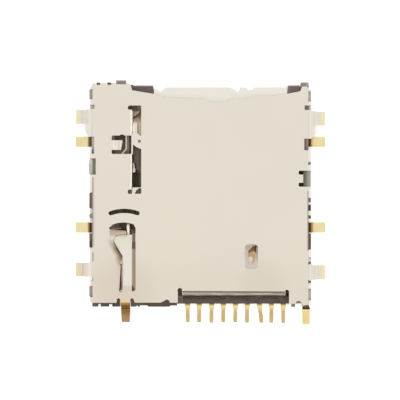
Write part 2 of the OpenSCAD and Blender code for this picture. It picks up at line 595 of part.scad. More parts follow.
// Side view of a contact: tip, crown, beam, lead and solder foot
function contact_section(crown_y, tip_yz, y_end) = strip(path([
    tip_yz, [crown_y + 0.80, crown_z - contact_t/2 + 0.005],
    [crown_y, crown_z - contact_t/2 + 0.045], [-5.02, lead_z],
    [-6.58, lead_z], [-6.92, foot_z], [y_end, foot_z]],
    [0, 0.22, 0.4, 0.3, 0.16, 0.16, 0], 5), contact_t);

// Plan of a contact: beam at bx, tail at tx, end of the foot at ex
function contact_plan(bx, tx, ex, y_tip, y_end, n) = let (b = beam_w / 2,
    t = tail_w / 2) [
    [bx - n + 0.05, y_tip], [bx + n - 0.05, y_tip], [bx + n, y_tip - 0.05],
    [bx + n, -3.9],
    [bx + b, -4.7], [bx + b, -5.2], [tx + t + 0.03, -6.15],
    [tx + t + 0.03, -6.52], [tx * 0.6 + ex * 0.4 + t - 0.015, -6.98],
    [ex + t, y_end + 0.30], [ex + t - 0.01, y_end + 0.06],
    [ex + t - 0.03, y_end + 0.015], [ex + t - 0.07, y_end],
    [ex - t + 0.07, y_end], [ex - t + 0.03, y_end + 0.015],
    [ex - t + 0.01, y_end + 0.06], [ex - t, y_end + 0.30],
    [tx * 0.6 + ex * 0.4 - t + 0.015, -6.98],
    [tx - t - 0.03, -6.52], [tx - t - 0.03, -6.15], [bx - b, -5.2],
    [bx - b, -4.7], [bx - n, -3.9], [bx - n, y_tip - 0.05]];

module contact_solid(i) {
    bx = first_x + i * contact_pitch;
    intersection() {
        along_x(min(bx, tail_x[i]) - 0.6, max(bx, tip_x[i]) + 0.6)
            polygon(contact_section(-3.96, [-2.64, 0.50], tip_y[i] - 0.1));
        up(-1, 2) polygon(contact_plan(bx, tail_x[i], tip_x[i], -2.62, tip_y[i],
            beam_w / 2));
    }
}
module contact(i) color([0.87, 0.74, 0.47]) contact_solid(i);

module detect_contact_solid() intersection() {
    along_x(4.9, 6.6) polygon(contact_section(-4.20, [-3.02, 0.52],
        detect_tip_y - 0.1));
    up(-1, 2) polygon(contact_plan(6.20, detect_tail, detect_tail, -2.9,
        detect_tip_y, 0.15));
}
module detect_contact() color([0.87, 0.74, 0.47]) intersection() {
    detect_contact_solid();
    box(4, -9, -1, 6.35, 0, 2);
}

module detect_terminal_solid() intersection() {
    along_x(5.9, 7.2) polygon(strip(path([[-2.95, 0.27], [-6.62, 0.27],
        [-6.92, foot_z], [-7.84, foot_z]], 0.14, 4), contact_t));
    up(-1, 2) polygon([[6.06, -2.9], [6.62, -2.9], [6.62, -6.30],
        [6.98, -6.60], [7.04, -6.8], [7.04, -7.74], [6.98, -7.9],
        [6.60, -7.9], [6.55, -7.74], [6.55, -6.62], [6.47, -6.4],
        [6.47, -3.32], [6.06, -3.32]]);
}
module detect_terminal() color([0.88, 0.78, 0.50]) detect_terminal_solid();

// -------------------------------------------------------------- anchors

module anchor_solid(y) intersection() {
    along_y(y - 0.34, y + 0.34) polygon(strip(path([[-6.69, 0.78],
        [-half_w + 0.035, 0.78], [-half_w + 0.035, foot_z],
        [-tab_reach - 0.02, foot_z]], 0.11, 5), contact_t));
    up(-1, 2) polygon(ring([[-6.5, y - 0.32], [-6.5, y + 0.32],
        [-tab_reach - 0.02, y + 0.34], [-tab_reach - 0.02, y - 0.34]],
        [0, 0, 0.07, 0.07], 3));
}
module anchor(y) color([0.90, 0.82, 0.58]) anchor_solid(y);

shell();
housing();
front_plate();
slider();
latch_spring();
coil_spring();
cam_pin();
contact(0);  // contact_1
contact(1);  // contact_2
contact(2);  // contact_3
contact(3);  // contact_4
contact(4);  // contact_5
contact(5);  // contact_6
contact(6);  // contact_7
contact(7);  // contact_8
detect_contact();
detect_terminal();
anchor(3.92);  // anchor_front_left
anchor(-1.59);  // anchor_rear_left
mirror([1, 0, 0]) anchor(3.92);  // anchor_front_right
mirror([1, 0, 0]) anchor(-1.59);  // anchor_rear_right
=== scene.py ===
import math

import bpy
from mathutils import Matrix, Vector


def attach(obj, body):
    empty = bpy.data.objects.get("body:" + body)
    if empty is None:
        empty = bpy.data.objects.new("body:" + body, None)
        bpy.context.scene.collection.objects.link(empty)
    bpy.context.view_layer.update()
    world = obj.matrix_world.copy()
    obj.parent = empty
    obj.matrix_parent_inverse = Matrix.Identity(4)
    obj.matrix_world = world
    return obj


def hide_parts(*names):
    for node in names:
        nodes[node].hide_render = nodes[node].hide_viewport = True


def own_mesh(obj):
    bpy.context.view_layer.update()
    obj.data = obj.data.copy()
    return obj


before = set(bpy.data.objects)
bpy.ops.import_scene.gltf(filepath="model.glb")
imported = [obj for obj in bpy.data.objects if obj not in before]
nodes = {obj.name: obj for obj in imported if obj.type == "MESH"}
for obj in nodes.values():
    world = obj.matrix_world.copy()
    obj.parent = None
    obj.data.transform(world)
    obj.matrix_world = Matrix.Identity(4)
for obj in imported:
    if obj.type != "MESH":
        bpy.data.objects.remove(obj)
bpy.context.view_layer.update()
MM = 0.001


# ------------------------------------------------------------- node helpers

def linear(r, g, b):
    """A display colour, 0 to 255, as scene-linear values."""
    def f(v):
        v /= 255.0
        return v / 12.92 if v <= 0.04045 else ((v + 0.055) / 1.055) ** 2.4
    return (f(r), f(g), f(b), 1.0)


STUDIO = 1.35          # brightness of the even studio light round the part


def metal(r, g, b):
    """The base colour of a metal that shows as this display colour here."""
    c = linear(r, g, b)
    return tuple(v / STUDIO for v in c[:3]) + (1.0,)


def dull(r, g, b):
    """The base colour of a plastic that shows as this display colour here."""
    c = linear(r, g, b)
    return tuple(max(v / STUDIO - 0.016, 0.003) for v in c[:3]) + (1.0,)


class Tree:
    """A small wrapper that adds nodes to a material and joins them."""

    def __init__(self, name):
        self.mat = bpy.data.materials.new(name)
        self.mat.use_nodes = True
        self.nt = self.mat.node_tree
        self.nt.nodes.clear()
        self.out = self.nt.nodes.new("ShaderNodeOutputMaterial")
        self.bsdf = self.nt.nodes.new("ShaderNodeBsdfPrincipled")
        self.nt.links.new(self.bsdf.outputs[0], self.out.inputs[0])
        coord = self.nt.nodes.new("ShaderNodeTexCoord")
        scale = self.nt.nodes.new("ShaderNodeVectorMath")
        scale.operation = "SCALE"
        scale.inputs["Scale"].default_value = 1000.0
        self.nt.links.new(coord.outputs["Object"], scale.inputs[0])
        self.mm = scale.outputs[0]          # place on the part, in millimetres
        split = self.nt.nodes.new("ShaderNodeSeparateXYZ")
        self.nt.links.new(self.mm, split.inputs[0])
        self.x, self.y, self.z = split.outputs

    def put(self, value, socket):
        if isinstance(value, bpy.types.NodeSocket):
            self.nt.links.new(value, socket)
        else:
            socket.default_value = value

    def math(self, op, a, b=None, c=None, clamp=False):
        n = self.nt.nodes.new("ShaderNodeMath")
        n.operation = op
        n.use_clamp = clamp
        for i, v in enumerate((a, b, c)):
            if v is not None:
                self.put(v, n.inputs[i])
        return n.outputs[0]

    def stretch(self, sx, sy, sz, at=(0, 0, 0), turn=(0, 0, 0)):
        n = self.nt.nodes.new("ShaderNodeMapping")
        self.nt.links.new(self.mm, n.inputs[0])
        n.inputs["Location"].default_value = at
        n.inputs["Rotation"].default_value = turn
        n.inputs["Scale"].default_value = (sx, sy, sz)
        return n.outputs[0]

    def noise(self, vector, scale=1.0, detail=3.0, rough=0.5, distortion=0.0):
        n = self.nt.nodes.new("ShaderNodeTexNoise")
        self.nt.links.new(vector, n.inputs["Vector"])
        n.inputs["Scale"].default_value = scale
        n.inputs["Detail"].default_value = detail
        n.inputs["Roughness"].default_value = rough
        n.inputs["Distortion"].default_value = distortion
        return n.outputs["Fac"]

    def cells(self, vector, scale=1.0, feature="F1"):
        n = self.nt.nodes.new("ShaderNodeTexVoronoi")
        self.nt.links.new(vector, n.inputs["Vector"])
        n.feature = feature
        n.inputs["Scale"].default_value = scale
        return n.outputs["Distance"]

    def ramp(self, fac, lo, hi, a=0.0, b=1.0, smooth=True):
        n = self.nt.nodes.new("ShaderNodeMapRange")
        n.interpolation_type = "SMOOTHSTEP" if smooth else "LINEAR"
        self.put(fac, n.inputs["Value"])
        n.inputs["From Min"].default_value = lo
        n.inputs["From Max"].default_value = hi
        n.inputs["To Min"].default_value = a
        n.inputs["To Max"].default_value = b
        return n.outputs["Result"]

    def mix(self, fac, a, b, kind="MIX"):
        n = self.nt.nodes.new("ShaderNodeMix")
        n.data_type = "RGBA"
        n.blend_type = kind
        n.clamp_factor = True
        self.put(fac, n.inputs["Factor"])
        self.put(a, n.inputs["A"])
        self.put(b, n.inputs["B"])
        return n.outputs["Result"]

    def band(self, v, lo, hi, soft):
        """1 between lo and hi, falling to 0 over soft on each side."""
        return self.math("MULTIPLY", self.ramp(v, lo - soft, lo), self.ramp(v, hi + soft, hi))

    def both(self, *parts):
        out = parts[0]
        for v in parts[1:]:
            out = self.math("MULTIPLY", out, v)
        return out

    def zone(self, x0, x1, y0, y1, soft=0.03):
        """1 inside a rectangle seen from above, in millimetres."""
        return self.both(self.band(self.x, x0, x1, soft), self.band(self.y, y0, y1, soft))

    def blob(self, cx, cy, rx, ry):
        """1 in the middle of an ellipse seen from above, 0 at its rim."""
        dx = self.math("MULTIPLY_ADD", self.x, 1 / rx, -cx / rx)
        dy = self.math("MULTIPLY_ADD", self.y, 1 / ry, -cy / ry)
        return self.ramp(self.math("MULTIPLY_ADD", dx, dx, self.math("MULTIPLY", dy, dy)), 1.0, 0.0)

    def bump(self, height, strength, depth, normal=None):
        n = self.nt.nodes.new("ShaderNodeBump")
        n.inputs["Strength"].default_value = strength
        n.inputs["Distance"].default_value = depth
        self.put(height, n.inputs["Height"])
        if normal is not None:
            self.nt.links.new(normal, n.inputs["Normal"])
        return n.outputs["Normal"]

    def finish(self, color, roughness, metallic=0.0, normal=None, specular=0.5):
        self.put(color, self.bsdf.inputs["Base Color"])
        self.put(roughness, self.bsdf.inputs["Roughness"])
        self.put(metallic, self.bsdf.inputs["Metallic"])
        self.bsdf.inputs["Specular IOR Level"].default_value = specular
        if normal is not None:
            self.put(normal, self.bsdf.inputs["Normal"])
        return self.mat


# --------------------------------------------------------------- materials

def sheet_steel(name, base, cool, warm, extra=None, satin=0.33, bare=None):
    """Rolled stainless sheet: a smooth satin face with faint rolling grain,
    slight unevenness of tone and a few handling marks."""
    t = Tree(name)
    broad = t.noise(t.stretch(0.16, 0.13, 0.3, at=(3.1, 1.7, 0)), 1.0, 2.0, 0.5)
    grain = t.noise(t.stretch(1.2, 26.0, 26.0), 1.0, 4.0, 0.6)
    fine = t.noise(t.stretch(30.0, 34.0, 30.0), 1.0, 2.0, 0.5)
    blot = t.noise(t.stretch(0.9, 1.1, 0.9, at=(8.3, 2.2, 0.4)), 1.0, 4.0, 0.62, 0.6)
    color = t.mix(t.ramp(broad, 0.36, 0.66), base, cool)
    color = t.mix(t.ramp(blot, 0.60, 0.80, 0.0, 0.10), color, warm)
    color = t.mix(t.ramp(grain, 0.35, 0.75, 0.0, 0.05), color, cool)
    rough = t.math("ADD", t.ramp(grain, 0.3, 0.7, satin, satin + 0.03), t.ramp(blot, 0.55, 0.8, 0.0, 0.03))
    if extra is not None:
        color = extra(t, color)
    normal = t.bump(grain, 0.03, 0.000003)
    normal = t.bump(fine, 0.03, 0.000002, normal)
    return t.finish(color, rough, bare(t) if bare else 1.0, normal)


def steps(t, v, soft, first, *rest):
    """Tones one after another along v, each from its own place onwards."""
    color = first
    for at, tone in rest:
        color = t.mix(t.ramp(v, at - soft, at + soft), color, tone)
    return color


def paint(t, color, tone, *areas):
    """Lay each area's tone over the colour: left, right, rear, front, tone."""
    for x0, x1, y0, y1, rgb in areas:
        color = t.mix(t.zone(x0, x1, y0, y1), color, tone(*rgb))
    return color


def shell_tones(t, color):
    """Gold-plated solder feet, the warmer rear of the sheet, and painted light
    and shade in the folds, on the dished rim, along the rear lip and round the leaf."""
    reach = t.math("ABSOLUTE", t.x)
    top = t.ramp(t.z, 1.44, 1.4495)
    # the sheet is a little warmer and deeper towards the rear
    leaf = t.zone(-5.10, -4.42, -5.25, -1.9, 0.10)
    warm = t.math("SUBTRACT", 1.0, leaf)
    color = t.mix(t.both(warm, t.ramp(t.y, -1.2, -6.0, 0.0, 0.60)), color, metal(223, 214, 201))
    color = t.mix(t.both(warm, t.math("MULTIPLY", t.blob(-5.0, -5.6, 2.6, 2.6), 0.45)), color,
                  metal(214, 201, 183))
    color = t.mix(t.math("MULTIPLY", t.blob(3.9, -5.2, 1.9, 1.9), 0.50), color, metal(216, 206, 189))
    color = t.mix(t.both(leaf, t.ramp(t.y, -2.2, -3.4)), color, metal(231, 226, 217))
    # painted shade: a dark line where the top begins to turn down into the side walls
    left_run = t.math("MAXIMUM", t.band(t.y, -2.80, 1.60, 0.06), t.band(t.y, -3.72, -3.20, 0.06))
    lane = t.mix(t.ramp(reach, 6.80, 6.88), metal(214, 206, 193), metal(182, 173, 163))
    color = t.mix(t.both(left_run, t.ramp(t.x, 0.1, -0.1), t.ramp(reach, 6.74, 6.82),
                         t.ramp(reach, 6.955, 6.915)), color, lane)
    right_run = t.both(t.ramp(t.x, -0.1, 0.1), t.band(t.y, -3.02, 0.70, 0.06))
    color = t.mix(t.both(right_run, t.ramp(reach, 6.80, 6.84), t.ramp(reach, 6.93, 6.90)), color,
                  metal(186, 178, 168))
    # painted shade on the bends of the side walls, keeping their bright reflection even all along, with a
    # darker patch on the left and a warmer one on the right
    turn = t.mix(t.ramp(reach, 7.00, 7.04), metal(206, 200, 194), metal(214, 208, 206))
    color = t.mix(t.both(t.ramp(reach, 6.925, 6.975), t.ramp(t.z, 0.7, 0.9)), color, turn)
    color = t.mix(t.zone(-7.20, -6.96, -1.15, -0.45), color,
                  t.mix(t.ramp(reach, 7.00, 7.04), metal(186, 174, 162), metal(206, 196, 184)))
    color = t.mix(t.zone(7.03, 7.20, -0.95, -0.45), color, metal(224, 204, 172))
    # side tabs: painted light and shade along the bends and the slope, set apart for the left and right sides,
    # with a painted highlight just before the gold tip
    tabs = t.math("MAXIMUM", t.band(t.y, 3.96, 6.04, 0.03), t.band(t.y, -4.94, -3.84, 0.03))
    right = t.ramp(t.x, -0.5, 0.5)
    near = t.mix(right, metal(202, 197, 187), metal(196, 189, 182))
    mid = t.mix(right, metal(206, 201, 192), metal(201, 196, 186))
    slope = steps(t, reach, 0.03, metal(216, 210, 198), (7.015, near), (7.085, mid),
                  (7.15, metal(208, 203, 194)), (7.345, metal(222, 217, 212)),
                  (7.41, metal(231, 227, 227)), (7.465, metal(237, 234, 240)),
                  (7.53, metal(254, 254, 264)), (7.60, metal(214, 206, 199)))
    rear_left = t.both(t.ramp(t.y, 0.5, -0.5), t.ramp(t.x, 0.5, -0.5))
    slope = t.mix(rear_left, slope, t.mix(0.30, slope, metal(232, 216, 196)))
    color = t.mix(t.both(tabs, t.ramp(reach, 6.90, 6.94)), color, slope)
    # painted shade beside the rear left anchor
    color = t.mix(t.both(t.zone(-6.96, -6.84, -1.95, -1.30), t.ramp(reach, 6.84, 6.90)), color,
                  metal(152, 140, 126))
    tarnish = t.noise(t.stretch(5.0, 3.0, 5.0, at=(1.0, 4.0, 0)), 1.0, 3.0, 0.6)
    pale = t.mix(t.ramp(tarnish, 0.35, 0.7), metal(238, 230, 198), metal(234, 225, 190))
    pale = t.mix(t.both(t.ramp(t.y, 0.5, -0.5), t.ramp(t.x, 0.5, -0.5)), pale, metal(230, 218, 180))
    color = t.mix(t.ramp(reach, 7.67, 7.74), color, pale)
    # rear foot: peach at the bend, brown below it, partly tarnish and partly a painted dark reflection, with
    # one painted highlight line
    color = t.mix(t.both(t.ramp(t.y, -6.00, -6.30), t.band(t.x, -5.14, -4.50, 0.02)), color,
                  metal(230, 206, 172))
    brown = t.mix(t.ramp(t.y, -6.40, -6.60), metal(176, 140, 84), metal(134, 100, 56))
    brown = t.mix(t.ramp(t.y, -6.74, -6.80), brown, metal(146, 110, 66))
    brown = t.mix(t.ramp(t.y, -6.9, -7.5), brown, metal(181, 147, 106))
    brown = t.mix(t.ramp(tarnish, 0.4, 0.7, 0.0, 0.30), brown, metal(142, 102, 56))
    brown = t.mix(t.band(t.y, -6.725, -6.690, 0.02), brown, metal(232, 196, 136))
    color = t.mix(t.both(t.ramp(t.y, -6.35, -6.42), t.band(t.x, -5.2, -4.4, 0.02)), color, brown)
    # painted shade on the dished rim of the sighting hole
    dish = t.both(t.ramp(t.z, 1.4495, 1.444), t.band(t.x, 2.8, 3.8, 0.02), t.band(t.y, -4.35, -2.4, 0.02))
    dish_shade = t.mix(t.ramp(t.y, -3.2, -4.1), metal(181, 174, 160), metal(206, 196, 191))
    color = t.mix(dish, color, dish_shade)
    # painted shade along the rear lip with streaks of painted reflection, and darker painted shade in the
    # groove on the top face beside it
    lip = t.both(t.band(t.x, -1.3, 5.5, 0.02), t.ramp(t.y, -5.76, -5.79), t.ramp(t.z, 0.9, 1.0))
    streak = t.noise(t.stretch(1.3, 9.0, 4.0, at=(2.0, 1.0, 0)), 1.0, 2.0, 0.5)
    shine = t.mix(t.ramp(streak, 0.44, 0.66), metal(160, 148, 133), metal(206, 196, 180))
    color = t.mix(lip, color, shine)
    groove = t.both(t.ramp(t.z, 1.447, 1.43), t.band(t.x, -1.3, 5.5, 0.02),
                    t.band(t.y, -5.79, -5.62, 0.01))
    color = t.mix(groove, color, metal(132, 119, 105))
    # painted shade on the plate edge curved down beside the leaf, darkest right at the gap
    down = t.math("MINIMUM", t.math("MAXIMUM", t.math("SUBTRACT", -2.42, t.y), 0.0), 0.98)
    edge = t.math("MULTIPLY_ADD", down, 0.573, -5.567)
    off = t.math("SUBTRACT", edge, t.x)
    side = t.both(t.ramp(t.y, -4.35, -3.35), t.ramp(t.y, -2.20, -2.95, smooth=False),
                  t.ramp(off, -0.02, 0.0), t.ramp(t.z, 0.9, 1.0))
    edge_shade = t.mix(t.ramp(off, 0.56, 0.32), color, metal(202, 186, 163))
    edge_shade = t.mix(t.ramp(off, 0.38, 0.20), edge_shade, metal(162, 145, 121))
    edge_shade = t.mix(t.ramp(off, 0.27, 0.10), edge_shade, metal(114, 98, 78))
    color = t.mix(side, color, edge_shade)
    # painted shade on both edges of the slit beside the leaf's root, browner towards its end
    slit = t.math("SUBTRACT", t.math("MULTIPLY_ADD", t.y, 0.030, -4.880), t.x)
    along = t.both(t.band(t.y, -5.66, -3.85, 0.12), t.ramp(t.z, 0.9, 1.0))
    slit_shade = steps(t, t.math("MULTIPLY", t.y, -1.0), 0.2, metal(202, 184, 165), (4.2, metal(182, 163, 143)),
                       (4.7, metal(158, 140, 120)), (5.0, metal(124, 105, 84)))
    color = t.mix(t.both(along, t.ramp(slit, -0.03, 0.01), t.ramp(slit, 0.34, 0.10), 0.40), color,
                  metal(196, 178, 158))
    color = t.mix(t.both(along, t.ramp(slit, -0.09, -0.02), t.ramp(slit, 0.14, 0.06)), color, slit_shade)
    # painted shade where the sheet dips at the top of the leaf window, darkest at its front edge and greyer at
    # its left
    low = t.ramp(t.z, 1.449, 1.435)
    upper = t.both(low, t.ramp(t.y, -2.30, -2.02), t.band(t.x, -6.0, -4.70, 0.02), t.ramp(t.y, -1.4, -1.6))
    dip_shade = steps(t, t.math("MULTIPLY", t.y, -1.0), 0.05, metal(156, 137, 116), (1.78, metal(182, 161, 138)),
                  (1.86, metal(199, 179, 157)), (1.98, metal(203, 188, 169)))
    dip_shade = t.mix(t.ramp(t.x, -5.36, -5.50), dip_shade, t.mix(0.5, dip_shade, metal(172, 160, 144)))
    color = t.mix(t.both(upper, t.ramp(t.x, -5.90, -5.74)), color, dip_shade)
    # painted shade on the rolled edge on its other side, darkest along its core and in one band across it
    roll = t.both(t.ramp(t.z, 1.447, 1.42), t.band(t.x, -4.37, -4.10, 0.01), t.band(t.y, -5.60, -1.90, 0.02))
    tone = t.mix(t.ramp(t.x, -4.33, -4.27), metal(136, 124, 108), metal(92, 80, 62))
    tone = t.mix(t.ramp(t.x, -4.22, -4.17), tone, metal(150, 139, 122))
    core = t.ramp(t.math("ABSOLUTE", t.math("ADD", t.x, 4.235)), 0.11, 0.04)
    tone = t.mix(t.ramp(t.y, -2.85, -3.0), tone, t.mix(core, metal(174, 156, 141), metal(133, 114, 98)))
    tone = t.mix(t.ramp(t.y, -3.75, -4.0), tone, t.mix(core, metal(169, 157, 136), metal(133, 117, 96)))
    tone = t.mix(t.band(t.y, -2.92, -2.55, 0.08), tone, metal(90, 76, 60))
    color = t.mix(roll, color, tone)
    # greyer patch where the leaf joins the plate
    color = t.mix(t.both(t.zone(-5.10, -4.42, -5.62, -5.30, 0.10), top), color, metal(213, 203, 190))
    # drawing marks along the tab in the square window
    mark = t.noise(t.stretch(7.5, 0.5, 0.5, at=(0.7, 0, 0)), 1.0, 1.0, 0.4)
    marks = t.mix(t.ramp(mark, 0.40, 0.60), metal(224, 213, 202), metal(240, 231, 220))
    color = t.mix(t.both(t.zone(-5.58, -4.86, 3.22, 3.95), t.ramp(t.z, 1.448, 1.43)), color, marks)
    # turned-down side of the slot, matt and pale: a painted highlight along the slot's side
    color = t.mix(t.both(t.zone(-4.380, -4.30, 4.35, 5.88, 0.01), t.ramp(t.z, 1.43, 1.40)), color,
                  (0.92, 0.84, 0.76, 1.0))
    # painted light on the finger and small tab where they dip into their openings
    color = t.mix(t.both(t.ramp(t.z, 1.40, 1.20), t.zone(-4.34, -4.06, 4.3, 5.4, 0.01)), color,
                  metal(236, 223, 210))
    return color


def slot_side(t):
    """All metal but for the turned-down side of the slot, left matt for its painted highlight."""
    side = t.both(t.zone(-4.380, -4.30, 4.35, 5.88, 0.01), t.ramp(t.z, 1.43, 1.40))
    return t.ramp(side, 0.0, 1.0, 1.0, 0.10)


def plate_tones(t, color):
    """Painted shade where the plate lies far down under the slot."""
    deep = steps(t, t.y, 0.06, metal(196, 182, 156), (5.20, metal(166, 150, 126)),
                 (5.36, metal(142, 123, 101)), (5.50, metal(112, 94, 75)))
    return t.mix(t.ramp(t.x, -3.70, -3.78), color, deep)


def moulded(name, low, high, gloss, extra=None):
    """Glass-filled black moulding: fine sparkle of filler, flow lines and
    slightly glossier, greyer patches."""
    t = Tree(name)
    cloud = t.noise(t.stretch(0.9, 0.9, 0.9, at=(2.0, 5.0, 1.0)), 1.0, 4.0, 0.6, 0.4)
    fleck = t.noise(t.stretch(22.0, 22.0, 22.0), 1.0, 3.0, 0.7)
    flow = t.noise(t.stretch(2.0, 9.0, 4.0, at=(0, 3.0, 0)), 1.0, 3.0, 0.5, 0.8)
    color = t.mix(t.ramp(cloud, 0.35, 0.7), low, high)
    color = t.mix(t.ramp(fleck, 0.55, 0.78, 0.0, 0.35), color, high)
    if extra is not None:
        color = extra(t, color)
    rough = t.math("ADD", t.ramp(cloud, 0.3, 0.7, gloss, gloss + 0.12),
                   t.ramp(fleck, 0.4, 0.8, -0.04, 0.08))
    normal = t.bump(fleck, 0.22, 0.000006)
    normal = t.bump(flow, 0.12, 0.000010, normal)
    return t.finish(color, rough, 0.0, normal, 0.2)


def housing_tones(t, color):
    """Painted light on the outer faces where the moulding reaches out through the
    shell, with a little scuffing, brown ones beside the rear anchors, and painted light and shade in the slot
    and the deep openings."""
    scuff = t.noise(t.stretch(7.0, 7.0, 7.0, at=(3.0, 1.0, 2.0)), 1.0, 3.0, 0.6)
    high = t.ramp(t.z, 0.50, 0.56)
    body = color
    # painted light and shade on the faces seen from outside, paler where they catch the light and darker where
    # shaded
    color = paint(
        t, color, dull,
        # left side, front to rear: corner block, nub, strip by the anchor
        (-7.30, -6.86, 6.55, 7.35, (176, 172, 165)),
        (-7.30, -7.03, 5.90, 6.35, (226, 221, 214)),
        (-7.03, -6.96, 5.90, 6.35, (210, 204, 196)),
        (-6.95, -6.89, 5.90, 6.35, (176, 171, 160)),
        (-6.88, -6.60, 5.90, 6.35, (184, 179, 170)),
        (-6.98, -6.64, 3.20, 4.30, (195, 184, 178)),
        # left snap block
        (-7.30, -6.68, 1.85, 2.85, (190, 183, 177)),
        (-6.88, -6.60, 1.85, 2.85, (132, 124, 113)),
        (-7.30, -6.98, 2.54, 2.85, (214, 208, 203)),
        # left blocks further back
        (-7.30, -6.86, -0.38, 0.66, (114, 103, 93)),
        (-7.30, -6.86, -0.98, -0.70, (184, 175, 162)),
        (-7.30, -6.86, -2.32, -1.90, (133, 110, 88)),
        (-7.30, -6.86, -2.90, -2.36, (92, 78, 66)),
        (-7.30, -6.80, -5.10, -4.75, (180, 173, 162)),
        (-7.30, -6.86, -6.10, -5.30, (175, 168, 168)),
        (-7.02, -6.94, -0.38, 0.66, (132, 120, 110)),
        (-6.93, -6.80, -2.90, 0.66, (158, 146, 135)),
        # right side, front to rear
        (6.86, 7.30, 6.50, 7.20, (193, 188, 178)),
        (6.60, 6.97, 5.90, 6.35, (132, 122, 112)),
        (6.98, 7.30, 5.90, 6.35, (152, 144, 133)),
        (6.60, 6.76, 3.20, 4.30, (120, 104, 97)),
        (6.77, 6.83, 3.20, 4.30, (150, 138, 134)),
        (6.84, 6.88, 3.20, 4.30, (161, 147, 140)),
        (6.90, 7.00, 3.20, 4.30, (88, 70, 55)),
        (6.86, 7.30, 2.40, 2.65, (165, 158, 149)),
        # right snap block and its strip
        (6.86, 7.30, 0.95, 2.10, (160, 154, 147)),
        (6.80, 6.86, 0.95, 2.10, (152, 146, 138)),
        (6.74, 6.80, 0.95, 2.10, (134, 128, 118)),
        (6.40, 6.73, 0.95, 2.10, (127, 119, 109)),
        # right blocks further back
        (6.86, 6.96, 0.02, 0.34, (146, 136, 126)),
        (6.96, 7.30, 0.02, 0.34, (156, 146, 136)),
        (6.86, 7.30, -0.52, -0.12, (94, 81, 70)),
        (6.86, 7.30, -1.02, -0.80, (126, 114, 96)),
        (6.86, 7.30, -2.28, -1.90, (126, 102, 77)),
        (6.86, 7.30, -3.02, -2.32, (118, 103, 85)),
        (6.86, 7.30, -3.76, -3.50, (232, 224, 216)),
        (6.86, 7.30, -3.96, -3.80, (140, 131, 120)),
        (6.80, 7.30, -5.20, -4.94, (123, 115, 101)),
        (6.86, 7.30, -6.25, -5.48, (196, 189, 178)),
        # rear right corner beside the switch's terminal
        (5.80, 6.10, -6.80, -6.40, (150, 136, 112)),
        (6.10, 6.50, -6.45, -6.20, (150, 140, 130)))
    color = t.mix(t.ramp(scuff, 0.35, 0.70, 0.0, 0.12), color, body)
    color = t.mix(high, body, color)
    # front edge: painted reflection on the bosses, palest, and a little darker on the two shelves
    front = t.both(t.ramp(t.y, 6.5, 6.8), t.ramp(t.y, 7.575, 7.555),
                   t.ramp(t.math("ABSOLUTE", t.x), 6.88, 6.84))
    shelf = t.mix(t.ramp(t.x, 5.66, 5.80), dull(150, 140, 136), dull(138, 126, 122))
    shelf = t.mix(t.ramp(t.x, 0.1, -0.1), shelf, dull(124, 110, 107))
    color = t.mix(front, color, shelf)
    boss = t.mix(t.ramp(t.x, -4.9, -5.5), dull(150, 140, 137), dull(158, 152, 150))
    boss = t.mix(t.ramp(t.x, 6.70, 6.86), boss, dull(175, 167, 163))
    color = t.mix(t.ramp(t.y, 7.45, 7.48), color, boss)
    color = t.mix(t.both(t.ramp(t.y, 7.45, 7.48), t.ramp(t.x, -5.62, -5.70)), color, dull(110, 104, 96))
    # rear bar over the leads, with a painted sheen, purple in places and greenish in others
    bar = t.both(t.band(t.x, -1.6, 5.7, 0.02), t.ramp(t.y, -5.9, -5.96), t.ramp(t.z, 0.9, 1.0))
    sheen = t.mix(t.ramp(t.y, -6.12, -6.30), dull(82, 74, 64), dull(98, 87, 83))
    mottle = t.noise(t.stretch(1.5, 3.2, 1.0, at=(5.0, 2.0, 0)), 1.0, 2.0, 0.5)
    sheen = t.mix(t.ramp(mottle, 0.56, 0.70, 0.0, 0.6), sheen, dull(104, 94, 98))
    sheen = t.mix(t.ramp(mottle, 0.46, 0.32, 0.0, 0.6), sheen, dull(68, 68, 55))
    color = t.mix(bar, color, sheen)
    # painted light on the floor and groove seen in the front end of the slot, and a painted highlight along the
    # ridge
    slot = t.zone(-4.85, -3.60, 4.9, 6.7)
    deep = t.mix(t.ramp(t.x, -4.40, -4.34), dull(125, 106, 82), dull(142, 121, 100))
    deep = t.mix(t.ramp(t.x, -4.06, -3.94), deep, dull(186, 164, 144))
    mauve = t.mix(t.ramp(t.y, 5.94, 5.82), deep, dull(240, 210, 194))
    crest_highlight = t.mix(t.ramp(t.y, 5.80, 5.94), dull(255, 244, 232), dull(178, 154, 138))
    mauve = t.mix(t.ramp(t.z, 0.44, 0.47), mauve, crest_highlight)
    mauve = t.mix(t.ramp(t.z, 0.40, 0.37), mauve, dull(200, 160, 132))
    color = t.mix(t.both(slot, t.ramp(t.z, 0.60, 0.55)), color, mauve)
